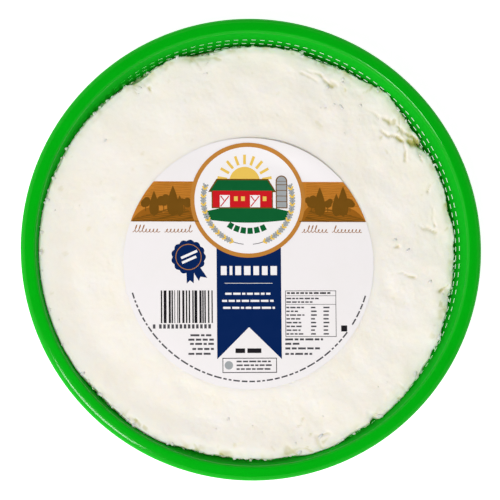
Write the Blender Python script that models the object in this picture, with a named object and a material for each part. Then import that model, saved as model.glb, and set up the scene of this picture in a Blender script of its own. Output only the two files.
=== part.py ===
"""Fresh ricotta in its perforated basket, with a round paper label on top.

Three closed solids in metres, +Z up, the origin at the centre of the foot: the
thin moulded basket, the cheese that fills it, and the label that lies on it.
"""

import math

import bmesh
import bpy
from mathutils import Matrix, Vector, noise

# Basket, measured on its inner and upper side
BASKET_RADIUS = 0.110
BASKET_HEIGHT = 0.044
WALL = 0.0012
CREST_RADIUS = 0.1036
CREST_ROUND = 0.0004
FLANGE_FALL = 0.0006
LIP_CHAMFER = 0.0018
LIP_DROP = 0.0060
WALL_DRAFT = math.radians(13.5)
COLLAR_DEPTH = 0.0095

# Slots in the wall
SLOTS_AROUND = 60
SLOT_ROWS = 3
SLOT_SHARE = 0.72

# Foot ring and raised floor
HEEL_HEIGHT = 0.0050
HEEL_WIDTH = 0.0030
FOOT_WIDTH = 0.0045
FLOOR_RISE = 0.0020
FLOOR_STEP = 0.0014

# Drain slots in the floor, as rings of (distance from the centre, number)
DRAIN_RINGS = ((0.070, 20), (0.046, 14), (0.023, 7))
DRAIN_LENGTH = 0.016
DRAIN_WIDTH = 0.0032
DRAIN_CUT = 0.006

# Cheese
GAP = 0.0003
TOP_DEPTH = 0.0070
TOP_TILT = 0.012
HIGH_SIDE = math.radians(225)
SWELL = 0.0004
SWELL_SIZE = 0.055
SECTORS = 80
TOP_RINGS = 15
BROW_SHARE = 0.965
BROW_DROP = 0.0006
BANK_SHARE = 0.84
BANK_RISE = 0.0016
CONTACT_DROP = 0.0016
LUMP_HEIGHT = 0.0014
LUMP_SIZE = 0.021
CURD_HEIGHT = 0.0009
CURD_SIZE = 0.0085
ROUGH_SIDE = math.radians(15)
ROUGH_MIDDLE = 0.75
ROUGH_GAIN = 0.45

# Gap between the cheese and the wall, widest towards OPEN_SIDE
OPEN_SIDE = math.radians(62)
OPEN_WIDTH = 0.0026
OPEN_DEPTH = 0.0090
OPEN_BIAS = 0.45
OPEN_SWING = 0.90
EDGE_WANDER = 0.00045
EDGE_WANDER_SIZE = 0.016

# Label
LABEL_RADIUS = 0.060
LABEL_CENTRE = Vector((-0.0015, -0.0070))
LABEL_THICKNESS = 0.0003
LABEL_SEGMENTS = 48
LABEL_RINGS = 3
LABEL_EASE = 0.007

# Layers of the noise that each form is read from
SWELL_LAYER = 3.7
LUMP_LAYER = 0.4
CURD_LAYER = 8.1
WANDER_LAYER = 5.2

# Colours from 0 to 255, as seen on a screen
BASKET_GREEN = (52, 178, 56)
CURD_WHITE = (243, 238, 226)
PAPER_WHITE = (244, 240, 240)

TURN = 2 * math.pi
TOP_LEVEL = BASKET_HEIGHT - TOP_DEPTH
WELD = 1e-6


def clear_scene():
    """Remove every object that the scene starts with."""
    for obj in list(bpy.data.objects):
        bpy.data.objects.remove(obj, do_unlink=True)


def linear(red, green, blue):
    """Turn a colour of 0 to 255 as seen on a screen into Blender's linear values."""
    shares = (red / 255, green / 255, blue / 255)
    return tuple(s / 12.92 if s <= 0.04045 else ((s + 0.055) / 1.055) ** 2.4 for s in shares)


def make_material(name, colour, roughness, metallic=0.0):
    """Make one Principled material."""
    material = bpy.data.materials.new(name)
    material.use_nodes = True
    shader = material.node_tree.nodes["Principled BSDF"]
    shader.inputs["Base Color"].default_value = (*linear(*colour), 1.0)
    shader.inputs["Roughness"].default_value = roughness
    shader.inputs["Metallic"].default_value = metallic
    return material


def add_object(name, bm, material):
    """Turn a bmesh into a named, smooth-shaded object."""
    bmesh.ops.recalc_face_normals(bm, faces=bm.faces)
    mesh = bpy.data.meshes.new(name)
    bm.to_mesh(mesh)
    bm.free()
    mesh.shade_smooth()
    mesh.set_sharp_from_angle(angle=math.radians(35))
    mesh.materials.append(material)
    obj = bpy.data.objects.new(name, mesh)
    bpy.context.scene.collection.objects.link(obj)
    return obj


def revolve(points, steps):
    """Spin a profile of (radius, height) points round Z and return the bmesh."""
    bm = bmesh.new()
    chain = [bm.verts.new((radius, 0.0, height)) for radius, height in points]
    edges = [bm.edges.new(pair) for pair in zip(chain, chain[1:])]
    bmesh.ops.spin(
        bm,
        geom=chain + edges,
        cent=(0.0, 0.0, 0.0),
        axis=(0.0, 0.0, 1.0),
        angle=TURN,
        steps=steps,
        use_merge=True,
    )
    bmesh.ops.remove_doubles(bm, verts=bm.verts, dist=WELD)
    return bm


def smooth_step(value):
    """Ease from 0 to 1 as the value goes from 0 to 1."""
    share = min(max(value, 0.0), 1.0)
    return share * share * (3.0 - 2.0 * share)


def lumps(x, y, size, layer):
    """Smooth noise from about -1 to 1, with bumps of the given size."""
    return noise.noise(Vector((x / size, y / size, layer)))


def wall_radius(height):
    """Inner radius of the basket's wall at a height."""
    return CREST_RADIUS - CREST_ROUND - (BASKET_HEIGHT - height) * math.tan(WALL_DRAFT)


def foot_radii():
    """Inner radii of the heel, the foot ring's two edges and the raised floor."""
    heel = wall_radius(HEEL_HEIGHT)
    ring_outside = heel - HEEL_WIDTH
    ring_inside = ring_outside - FOOT_WIDTH
    return heel, ring_outside, ring_inside, ring_inside - FLOOR_STEP


def slot_heights():
    """Top and bottom of each row of slots, from the collar down."""
    top = BASKET_HEIGHT - COLLAR_DEPTH
    pitch = (top - HEEL_HEIGHT) / SLOT_ROWS
    return [(top - row * pitch, top - row * pitch - SLOT_SHARE * pitch) for row in range(SLOT_ROWS)]


def basket_profile():
    """Inner and upper side of the basket's section, from the lip's edge to the floor."""
    heel, ring_outside, ring_inside, floor = foot_radii()
    crest = BASKET_HEIGHT
    points = [
        (BASKET_RADIUS, crest - LIP_DROP),
        (BASKET_RADIUS, crest - FLANGE_FALL - LIP_CHAMFER),
        (BASKET_RADIUS - LIP_CHAMFER, crest - FLANGE_FALL),
        (CREST_RADIUS, crest),
    ]
    for top, bottom in slot_heights():
        points += [(wall_radius(top), top), (wall_radius(bottom), bottom)]
    points += [
        (heel, HEEL_HEIGHT),
        (ring_outside, WALL),
        (ring_inside, WALL),
        (floor, WALL + FLOOR_RISE),
    ]
    return points


def offset_profile(points, distance):
    """Offset a chain of points to its outer side, with mitred corners."""
    chain = [Vector(point) for point in points]
    runs = [(after - before).normalized() for before, after in zip(chain, chain[1:])]
    sides = [Vector((-run.y, run.x)) for run in runs]
    shifted = [chain[0] + sides[0] * distance]
    for point, before, after in zip(chain[1:-1], sides, sides[1:]):
        shifted.append(point + (before + after) * distance / (1.0 + before.dot(after)))
    shifted.append(chain[-1] + sides[-1] * distance)
    return [(point.x, point.y) for point in shifted]


def cut_slots(bm):
    """Open every second cell of each slot row through the wall."""
    step = TURN / (2 * SLOTS_AROUND)
    cells = {}
    for face in bm.faces:
        centre = face.calc_center_median()
        radius = math.hypot(centre.x, centre.y)
        column = int((math.atan2(centre.y, centre.x) % TURN) / step)
        on_wall = abs(radius - wall_radius(centre.z)) < 2 * WALL
        for row, (top, bottom) in enumerate(slot_heights()):
            if on_wall and column % 2 == 0 and bottom < centre.z < top:
                cells.setdefault((row, column), []).append(face)
    for pair in cells.values():
        edges = [edge for face in pair for edge in face.edges]
        bmesh.ops.delete(bm, geom=pair, context="FACES_ONLY")
        bmesh.ops.bridge_loops(bm, edges=edges)


def make_drain_cutter():
    """One helper mesh with a box for each drain slot of the floor."""
    bm = bmesh.new()
    for distance, number in DRAIN_RINGS:
        for index in range(number):
            box = bmesh.ops.create_cube(bm, size=1.0)["verts"]
            bmesh.ops.scale(bm, vec=(DRAIN_LENGTH, DRAIN_WIDTH, DRAIN_CUT), verts=box)
            bmesh.ops.translate(bm, vec=(distance, 0.0, WALL + FLOOR_RISE), verts=box)
            turn = Matrix.Rotation(TURN * index / number, 3, "Z")
            bmesh.ops.rotate(bm, cent=(0.0, 0.0, 0.0), matrix=turn, verts=box)
    mesh = bpy.data.meshes.new("drain_cutter")
    bm.to_mesh(mesh)
    bm.free()
    cutter = bpy.data.objects.new("drain_cutter", mesh)
    cutter.hide_render = True
    cutter.display_type = "WIRE"
    bpy.context.scene.collection.objects.link(cutter)
    return cutter


def build_basket():
    """Thin basket with a flat flange, a turned-down lip, slots and a foot ring."""
    inner = basket_profile()
    outer = offset_profile(inner, WALL)
    bm = revolve(inner[::-1] + outer, 2 * SLOTS_AROUND)
    bmesh.ops.holes_fill(bm, edges=[edge for edge in bm.edges if edge.is_boundary], sides=0)
    cut_slots(bm)
    basket = add_object("basket", bm, make_material("green_plastic", BASKET_GREEN, 0.35))
    drains = basket.modifiers.new("drains", "BOOLEAN")
    drains.operation = "DIFFERENCE"
    drains.solver = "EXACT"
    drains.object = make_drain_cutter()


def rest_level(x, y):
    """Height of the pressed cheese under the label, without its lumps."""
    along = x * math.cos(HIGH_SIDE) + y * math.sin(HIGH_SIDE)
    return TOP_LEVEL + TOP_TILT * along + SWELL * lumps(x, y, SWELL_SIZE, SWELL_LAYER)


def relief(x, y):
    """Lumps of the open cheese, none under the label and more on the rough side."""
    from_label = (Vector((x, y)) - LABEL_CENTRE).length - LABEL_RADIUS
    along = x * math.cos(ROUGH_SIDE) + y * math.sin(ROUGH_SIDE)
    roughness = ROUGH_MIDDLE + ROUGH_GAIN * along / CREST_RADIUS
    large = LUMP_HEIGHT * lumps(x, y, LUMP_SIZE, LUMP_LAYER)
    small = CURD_HEIGHT * lumps(x, y, CURD_SIZE, CURD_LAYER)
    return smooth_step(from_label / LABEL_EASE) * roughness * (large + small)


def openness(angle):
    """How far the cheese stands off the wall at an angle, from 0 to 1."""
    return smooth_step(OPEN_BIAS + OPEN_SWING * math.cos(angle - OPEN_SIDE))


def edge_radius(angle):
    """Radius of the cheese's upper edge at an angle."""
    level = TOP_LEVEL + TOP_TILT * CREST_RADIUS * math.cos(angle - HIGH_SIDE)
    full = wall_radius(level - CONTACT_DROP) - GAP
    x, y = full * math.cos(angle), full * math.sin(angle)
    wander = EDGE_WANDER * (1.0 - lumps(x, y, EDGE_WANDER_SIZE, WANDER_LAYER))
    return full - OPEN_WIDTH * openness(angle) - wander


def cheese_surface(angle, share):
    """Point of the open top at an angle and a share of its edge radius."""
    radius = edge_radius(angle) * share
    x, y = radius * math.cos(angle), radius * math.sin(angle)
    slump = BROW_DROP * smooth_step((share - BROW_SHARE) / (1.0 - BROW_SHARE))
    bank = BANK_RISE * smooth_step((share - BANK_SHARE) / (1.0 - BANK_SHARE))
    shift = bank * (1.0 - openness(angle)) - slump * (1.0 + 2.0 * openness(angle))
    return Vector((x, y, rest_level(x, y) + relief(x, y) + shift))


def cheese_contact(angle):
    """Point where the cheese meets the wall at an angle."""
    brow = cheese_surface(angle, 1.0)
    height = brow.z - CONTACT_DROP - OPEN_DEPTH * openness(angle)
    radius = wall_radius(height) - GAP
    return Vector((radius * math.cos(angle), radius * math.sin(angle), height))


def side_profile():
    """Radii and heights of the cheese below its contact line, down to the centre."""
    middle = 0.5 * TOP_LEVEL
    lower = offset_profile(basket_profile()[-5:], -GAP)[1:]
    return [(wall_radius(middle) - GAP, middle), *lower, (0.0, lower[-1][1])]


def build_ricotta():
    """One mass of cheese, moulded by the basket below and lumpy above."""
    full = edge_radius(HIGH_SIDE)
    shares = [ring / TOP_RINGS for ring in range(TOP_RINGS)] + [BROW_SHARE, 1.0]
    top = [(full * share, TOP_LEVEL) for share in shares]
    contact = (full + GAP, TOP_LEVEL - CONTACT_DROP)
    bm = revolve(top + [contact] + side_profile(), SECTORS)
    for vert in bm.verts:
        radius = math.hypot(vert.co.x, vert.co.y)
        angle = math.atan2(vert.co.y, vert.co.x)
        if vert.co.z > TOP_LEVEL - 0.5 * CONTACT_DROP:
            vert.co = cheese_surface(angle, radius / full)
        elif vert.co.z > TOP_LEVEL - 1.5 * CONTACT_DROP:
            vert.co = cheese_contact(angle)
    add_object("ricotta", bm, make_material("fresh_curd", CURD_WHITE, 0.62))


def build_label():
    """Round paper label that follows the pressed cheese."""
    rings = [LABEL_RADIUS * ring / LABEL_RINGS for ring in range(LABEL_RINGS, 0, -1)]
    bm = revolve([(radius, 0.0) for radius in rings] + [(0.0, 0.0)], LABEL_SEGMENTS)
    lower = list(bm.faces)
    raised = bmesh.ops.extrude_face_region(bm, geom=lower, use_keep_orig=True)["geom"]
    bmesh.ops.translate(
        bm,
        vec=(0.0, 0.0, LABEL_THICKNESS),
        verts=[item for item in raised if isinstance(item, bmesh.types.BMVert)],
    )
    for vert in bm.verts:
        x = vert.co.x + LABEL_CENTRE.x
        y = vert.co.y + LABEL_CENTRE.y
        vert.co = (x, y, vert.co.z + rest_level(x, y) + GAP)
    add_object("label", bm, make_material("label_paper", PAPER_WHITE, 0.5))


def main():
    """Clear the scene and build the three pieces."""
    clear_scene()
    build_basket()
    build_ricotta()
    build_label()


main()
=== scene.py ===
"""Looks of a basket of fresh ricotta: the moulded basket, the curd, the paper label and the studio.

Lengths are in metres, +Z is up and +Y points at the top of the label.
"""

import logging
import math
import random
from collections.abc import Iterable, Sequence
from dataclasses import dataclass, field
from enum import Enum

import bmesh
import bpy
from mathutils import Matrix, Vector, noise


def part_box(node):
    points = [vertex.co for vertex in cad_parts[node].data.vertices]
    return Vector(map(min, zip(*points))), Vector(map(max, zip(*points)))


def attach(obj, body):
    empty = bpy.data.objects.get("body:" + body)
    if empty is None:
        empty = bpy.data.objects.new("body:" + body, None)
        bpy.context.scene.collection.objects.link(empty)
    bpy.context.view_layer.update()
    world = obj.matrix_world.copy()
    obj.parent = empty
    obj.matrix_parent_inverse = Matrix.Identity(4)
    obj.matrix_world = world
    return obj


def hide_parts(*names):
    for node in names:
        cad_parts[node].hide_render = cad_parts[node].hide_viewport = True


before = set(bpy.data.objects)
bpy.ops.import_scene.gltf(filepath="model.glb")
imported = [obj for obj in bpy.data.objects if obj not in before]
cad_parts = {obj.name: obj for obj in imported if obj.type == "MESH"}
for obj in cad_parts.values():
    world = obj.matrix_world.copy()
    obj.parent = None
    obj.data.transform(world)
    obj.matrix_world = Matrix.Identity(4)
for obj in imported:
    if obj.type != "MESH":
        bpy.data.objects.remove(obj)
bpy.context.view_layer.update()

BODY = "root"
TURN = 2.0 * math.pi
SHAPE_STEP = 2e-6
SHAPE_STEPS = 7
INK_SHARE = 0.9
MILLIMETRE = 0.001
WELD = 1e-6

log = logging.getLogger("ricotta")

Colour = tuple[float, float, float]
Point2 = tuple[float, float]


def screen(red: float, green: float, blue: float) -> Colour:
    """Turn a colour of 0 to 255 as seen on a screen into linear values.

    Args:
        red: Red from 0 to 255.
        green: Green from 0 to 255.
        blue: Blue from 0 to 255.

    Returns:
        The three linear values from 0 to 1.
    """
    shares = (red / 255.0, green / 255.0, blue / 255.0)
    return tuple(s / 12.92 if s <= 0.04045 else ((s + 0.055) / 1.055) ** 2.4 for s in shares)


def smooth_step(value: float) -> float:
    """Ease from 0 to 1 as the value goes from 0 to 1."""
    share = min(max(value, 0.0), 1.0)
    return share * share * (3.0 - 2.0 * share)


def blend(first: float, second: float, share: float) -> float:
    """Return the value at a share of the way from the first to the second."""
    return first + (second - first) * share


def lumps(x: float, y: float, size: float, layer: float) -> float:
    """Return smooth noise from about -1 to 1, with bumps of the given size."""
    return noise.noise(Vector((x / size, y / size, layer)))


def polar(radius: float, angle: float) -> Point2:
    """Return the place at a distance from the axis and at an angle."""
    return radius * math.cos(angle), radius * math.sin(angle)


def arc(centre: Point2, radius: float, start: float, end: float, steps: int) -> list[Point2]:
    """Return points along an arc.

    Args:
        centre: Centre of the arc.
        radius: Radius of the arc.
        start: First angle in degrees, from the first axis.
        end: Last angle in degrees.
        steps: Number of stretches between the points.

    Returns:
        The points, one more than the steps.
    """
    angles = [math.radians(blend(start, end, step / steps)) for step in range(steps + 1)]
    return [(centre[0] + radius * math.cos(a), centre[1] + radius * math.sin(a)) for a in angles]


def offset_chain(points: Sequence[Point2], distance: float) -> list[Point2]:
    """Offset a chain of points to its left side, with mitred corners.

    Args:
        points: Points of the chain in order.
        distance: How far the chain moves to the left of its own direction.

    Returns:
        The moved points, as many as were given.
    """
    chain = [Vector(point) for point in points]
    runs = [(after - before).normalized() for before, after in zip(chain, chain[1:])]
    sides = [Vector((-run.y, run.x)) for run in runs]
    moved = [chain[0] + sides[0] * distance]
    for point, before, after in zip(chain[1:-1], sides, sides[1:]):
        moved.append(point + (before + after) * distance / (1.0 + before.dot(after)))
    moved.append(chain[-1] + sides[-1] * distance)
    return [(point.x, point.y) for point in moved]


def face_up(faces: Iterable[bmesh.types.BMFace]) -> None:
    """Turn faces that look down."""
    for face in faces:
        face.normal_update()
        if face.normal.z < 0.0:
            face.normal_flip()


def add_piece(
    name: str, bm: bmesh.types.BMesh, material: bpy.types.Material, sharp: float | None = None
) -> bpy.types.Object:
    """Turn a bmesh into a smooth-shaded piece that rides on the body.

    Args:
        name: Name of the piece.
        bm: The finished bmesh, which is freed.
        material: Material of the piece.
        sharp: Angle from which its edges are sharp, or nothing.

    Returns:
        The new object.
    """
    mesh = bpy.data.meshes.new(name)
    bm.to_mesh(mesh)
    bm.free()
    mesh.shade_smooth()
    if sharp:
        mesh.set_sharp_from_angle(angle=sharp)
    mesh.materials.append(material)
    piece = bpy.data.objects.new(name, mesh)
    bpy.context.scene.collection.objects.link(piece)
    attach(piece, BODY)
    return piece


def report(piece: bpy.types.Object) -> None:
    """Log a piece's name and its number of triangles.

    Args:
        piece: The finished piece.
    """
    graph = bpy.context.evaluated_depsgraph_get()
    mesh = piece.evaluated_get(graph).to_mesh()
    mesh.calc_loop_triangles()
    log.info("%s: %d triangles", piece.name, len(mesh.loop_triangles))
    piece.evaluated_get(graph).to_mesh_clear()


class Nodes:
    """A node tree with short calls to add, feed and link nodes."""

    def __init__(self, tree: bpy.types.NodeTree) -> None:
        """Keep the tree that the nodes go into."""
        self.tree = tree

    def feed(self, socket: bpy.types.NodeSocket, value: object) -> None:
        """Link an output to an input, or set the input to a plain value.

        Args:
            socket: The input.
            value: An output, a colour of three parts, a vector or a number.
        """
        if isinstance(value, bpy.types.NodeSocket):
            self.tree.links.new(value, socket)
        else:
            socket.default_value = (*value, 1.0) if socket.type == "RGBA" else value

    def add(self, kind: str, **values: object) -> bpy.types.bpy_prop_collection:
        """Add a node and feed its inputs or set its properties by name.

        Args:
            kind: Identifier of the node's type, after its common beginning.
            **values: Values and outputs, an underscore standing for a space in an input's name.

        Returns:
            The outputs of the new node.
        """
        node = self.tree.nodes.new(f"ShaderNode{kind}")
        for name, value in values.items():
            socket = node.inputs.get(name.replace("_", " ").title())
            if socket is None:
                setattr(node, name, value)
            else:
                self.feed(socket, value)
        return node.outputs

    def math(self, operation: str, *operands: object, kind: str = "Math") -> bpy.types.NodeSocket:
        """Add a node that calculates.

        Args:
            operation: Identifier of the operation.
            *operands: Values and outputs in the order of the node's inputs.
            kind: Math for numbers and VectorMath for vectors.

        Returns:
            The output with the resulting number.
        """
        outputs = self.add(kind, operation=operation)
        for socket, operand in zip(outputs["Value"].node.inputs, operands):
            self.feed(socket, operand)
        return outputs["Value"]

    def ramp(self, value: bpy.types.NodeSocket, **limits: object) -> bpy.types.NodeSocket:
        """Map an output to another range.

        Args:
            value: The output.
            **limits: Any of from_min, from_max, to_min, to_max and interpolation_type.

        Returns:
            The mapped output.
        """
        return self.add("MapRange", value=value, **limits)["Result"]

    def mix(self, share: bpy.types.NodeSocket, first: object, second: object) -> bpy.types.NodeSocket:
        """Mix two colours by a varying share.

        Args:
            share: Output that gives the share of the second colour.
            first: Colour or output for the share 0.
            second: Colour or output for the share 1.

        Returns:
            The mixed colour's output.
        """
        outputs = self.add("Mix", data_type="RGBA")
        inputs = outputs[0].node.inputs
        colours = [socket for socket in inputs if socket.type == "RGBA"]
        for socket, value in zip((inputs["Factor"], *colours), (share, first, second)):
            self.feed(socket, value)
        return next(socket for socket in outputs if socket.type == "RGBA")


def new_group(
    name: str, inputs: dict[str, str], outputs: dict[str, str]
) -> tuple[Nodes, bpy.types.bpy_prop_collection, bpy.types.bpy_prop_collection]:
    """Start a shader node group.

    Args:
        name: Name of the group.
        inputs: Kind of each input by its name.
        outputs: Kind of each output by its name.

    Returns:
        The group's nodes, what it is given, and what it has to give.
    """
    tree = bpy.data.node_groups.new(name, "ShaderNodeTree")
    for way, sockets in (("INPUT", inputs), ("OUTPUT", outputs)):
        for label, kind in sockets.items():
            tree.interface.new_socket(name=label, in_out=way, socket_type=f"NodeSocket{kind}")
    return Nodes(tree), tree.nodes.new("NodeGroupInput").outputs, tree.nodes.new("NodeGroupOutput").inputs


def make_mottle() -> bpy.types.NodeTree:
    """Make the group that varies a colour softly, in patches and in fine flecks.

    Returns:
        The group, with a colour and a mask from 0 to 1 as its outputs.
    """
    nodes, given, result = new_group(
        "mottle",
        {"Base": "Color", "Patch": "Color", "Scale": "Float", "Amount": "Float"},
        {"Colour": "Color", "Mask": "Float"},
    )
    place = nodes.add("TexCoord")["Object"]
    cloud = nodes.add("TexNoise", vector=place, scale=given["Scale"], detail=5.0, roughness=0.62)["Fac"]
    mask = nodes.ramp(cloud, from_min=0.36, from_max=0.66)
    share = nodes.math("MULTIPLY", mask, given["Amount"])
    nodes.feed(result["Colour"], nodes.mix(share, given["Base"], given["Patch"]))
    nodes.feed(result["Mask"], mask)
    return nodes.tree


def make_grain() -> bpy.types.NodeTree:
    """Make the group that gives a height of two grains, one coarse and one fine.

    Returns:
        The group, with a height as its output.
    """
    inputs = dict.fromkeys(("Coarse Scale", "Fine Scale", "Fine Share"), "Float")
    nodes, given, result = new_group("grain", inputs, {"Height": "Float"})
    place = nodes.add("TexCoord")["Object"]
    coarse, fine = (
        nodes.add("TexNoise", vector=place, scale=given[name], detail=4.0)["Fac"]
        for name in ("Coarse Scale", "Fine Scale")
    )
    nodes.feed(result["Height"], nodes.math("MULTIPLY_ADD", fine, given["Fine Share"], coarse))
    return nodes.tree


MOTTLE = make_mottle()
GRAIN = make_grain()


class Shader(Nodes):
    """A new material with a Principled shader."""

    def __init__(self, name: str) -> None:
        """Start the material under a name."""
        self.material = bpy.data.materials.new(name)
        self.material.use_nodes = True
        super().__init__(self.material.node_tree)

    def set(self, node: bpy.types.Node | None = None, **values: object) -> bpy.types.Node:
        """Feed inputs by name.

        Args:
            node: The node, or nothing for the Principled shader.
            **values: Values and outputs, an underscore standing for a space in an input's name.

        Returns:
            The node.
        """
        node = node or self.tree.nodes["Principled BSDF"]
        for name, value in values.items():
            self.feed(node.inputs[name.replace("_", " ")], value)
        return node

    def effect(self, group: bpy.types.NodeTree, **values: object) -> bpy.types.bpy_prop_collection:
        """Add a node group and feed its inputs by name.

        Args:
            group: The group to place.
            **values: Values and outputs for its inputs.

        Returns:
            The outputs of the group's node.
        """
        node = self.tree.nodes.new("ShaderNodeGroup")
        node.node_tree = group
        return self.set(node, **values).outputs

    def mottle(self, base: Colour, patch: Colour, scale: float, amount: float) -> tuple:
        """Add a softly varied colour.

        Args:
            base: Main colour.
            patch: Colour of the patches.
            scale: Number of patches in a metre.
            amount: Strength of the patches.

        Returns:
            The outputs with the colour and with the mask of its patches.
        """
        outputs = self.effect(MOTTLE, Base=base, Patch=patch, Scale=scale, Amount=amount)
        return outputs["Colour"], outputs["Mask"]

    def relief(self, coarse: float, fine: float, share: float, strength: float, depth: float) -> None:
        """Feed two grains into the shader's normal.

        Args:
            coarse: Scale of the coarse grain.
            fine: Scale of the fine grain.
            share: Share of the fine grain.
            strength: Strength of the relief.
            depth: Depth of the relief.
        """
        grain = self.effect(GRAIN, Coarse_Scale=coarse, Fine_Scale=fine, Fine_Share=share)["Height"]
        self.set(Normal=self.add("Bump", height=grain, strength=strength, distance=depth)["Normal"])


@dataclass(frozen=True)
class MouldedPlastic:
    """Smooth green plastic, with a painted glow: paler green below the flange, standing in for light that
    shines through the wall.
    """

    colour: Colour = screen(0, 175, 16)
    deep: Colour = screen(0, 165, 12)
    # Painted glow: paler green that stands in for light shining through the plastic below the flange.
    painted_glow: Colour = screen(14, 180, 30)
    painted_glow_from: float = 0.0432
    painted_glow_below: float = 0.0424
    roughness: float = 0.1
    gloss: float = 0.25
    inner_gloss: float = 0.02
    inner_roughness: float = 0.6

    def material(self) -> bpy.types.Material:
        """Make the material."""
        shader = Shader("green_plastic")
        tone, _ = shader.mottle(self.colour, self.deep, 28.0, 0.45)
        # Painted glow: from the flange down the green is painted paler, with less gloss and more roughness.
        height = shader.add("SeparateXYZ", vector=shader.add("TexCoord")["Object"])["Z"]
        painted_glow_share = shader.ramp(height, from_min=self.painted_glow_from, from_max=self.painted_glow_below)
        shader.set(
            Base_Color=shader.mix(painted_glow_share, tone, self.painted_glow),
            Roughness=shader.ramp(painted_glow_share, to_min=self.roughness, to_max=self.inner_roughness),
            Specular_IOR_Level=shader.ramp(painted_glow_share, to_min=self.gloss, to_max=self.inner_gloss),
            IOR=1.49,
            Subsurface_Weight=0.12,
            Subsurface_Scale=0.002,
            Subsurface_Radius=(0.25, 1.0, 0.25),
        )
        shader.relief(60.0, 1400.0, 0.12, 0.12, 0.0003)
        return shader.material


@dataclass(frozen=True)
class FreshCurd:
    """Moist white curd, with an olive painted shade, tinged by the basket's green reflected light, in its
    dips, cracks and along the wall.
    """

    colour: Colour = screen(249, 242, 234)
    patch: Colour = screen(247, 239, 226)
    # Painted shade: olive colour for the shade in cracks, dips and against the wall, with the basket's green
    # light in it.
    painted_shade_colour: Colour = screen(190, 184, 108)
    dry: float = 0.50
    drier: float = 0.68

    def material(self) -> bpy.types.Material:
        """Make the material."""
        shader = Shader("fresh_curd")
        tone, mask = shader.mottle(self.colour, self.patch, 70.0, 0.8)
        # Painted shade: a mask on the points mixes the olive shade colour into the curd.
        painted_shade = shader.add("Attribute", attribute_name="painted_shade")["Fac"]
        shader.set(
            Base_Color=shader.mix(painted_shade, tone, self.painted_shade_colour),
            Roughness=shader.ramp(mask, to_min=self.dry, to_max=self.drier),
            IOR=1.36,
            Specular_IOR_Level=0.25,
            Subsurface_Weight=0.45,
            Subsurface_Scale=0.004,
            Subsurface_Radius=(1.0, 0.85, 0.6),
        )
        shader.relief(420.0, 1900.0, 0.35, 0.22, 0.0004)
        return shader.material


@dataclass(frozen=True)
class CoatedPaper:
    """Smooth white label paper, a little damp in soft patches."""

    colour: Colour = screen(244, 239, 240)
    damp: Colour = screen(238, 234, 231)
    roughness: float = 0.42

    def material(self) -> bpy.types.Material:
        """Make the material."""
        shader = Shader("label_paper")
        tone, mask = shader.mottle(self.colour, self.damp, 45.0, 0.35)
        polish = shader.ramp(mask, to_min=self.roughness, to_max=self.roughness + 0.15)
        shader.set(Base_Color=tone, Roughness=polish, Specular_IOR_Level=0.20)
        shader.relief(90.0, 2600.0, 0.15, 0.2, 0.0004)
        return shader.material


@dataclass(frozen=True)
class Ink:
    """One printed colour, a little uneven as it lies on the paper."""

    name: str
    colour: Colour
    worn: float = 0.12
    roughness: float = 0.40

    def material(self) -> bpy.types.Material:
        """Make the material."""
        shader = Shader(f"ink_{self.name}")
        pale = tuple(part * (1.0 + self.worn) for part in self.colour)
        tone, mask = shader.mottle(self.colour, pale, 160.0, 0.8)
        polish = shader.ramp(mask, to_min=self.roughness, to_max=self.roughness + 0.12)
        shader.set(Base_Color=tone, Roughness=polish, Specular_IOR_Level=0.05)
        return shader.material


@dataclass(frozen=True)
class FloorPaint:
    """Plain white studio floor, faintly uneven and lit from below as a light table is."""

    colour: Colour = (0.90, 0.90, 0.90)
    shade: Colour = (0.88, 0.88, 0.88)
    glow: float = 0.8

    def material(self) -> bpy.types.Material:
        """Make the material."""
        shader = Shader("studio_floor")
        tone, _ = shader.mottle(self.colour, self.shade, 1.5, 0.5)
        shader.set(Base_Color=tone, Emission_Color=tone, Roughness=0.9, Emission_Strength=self.glow)
        return shader.material


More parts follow.
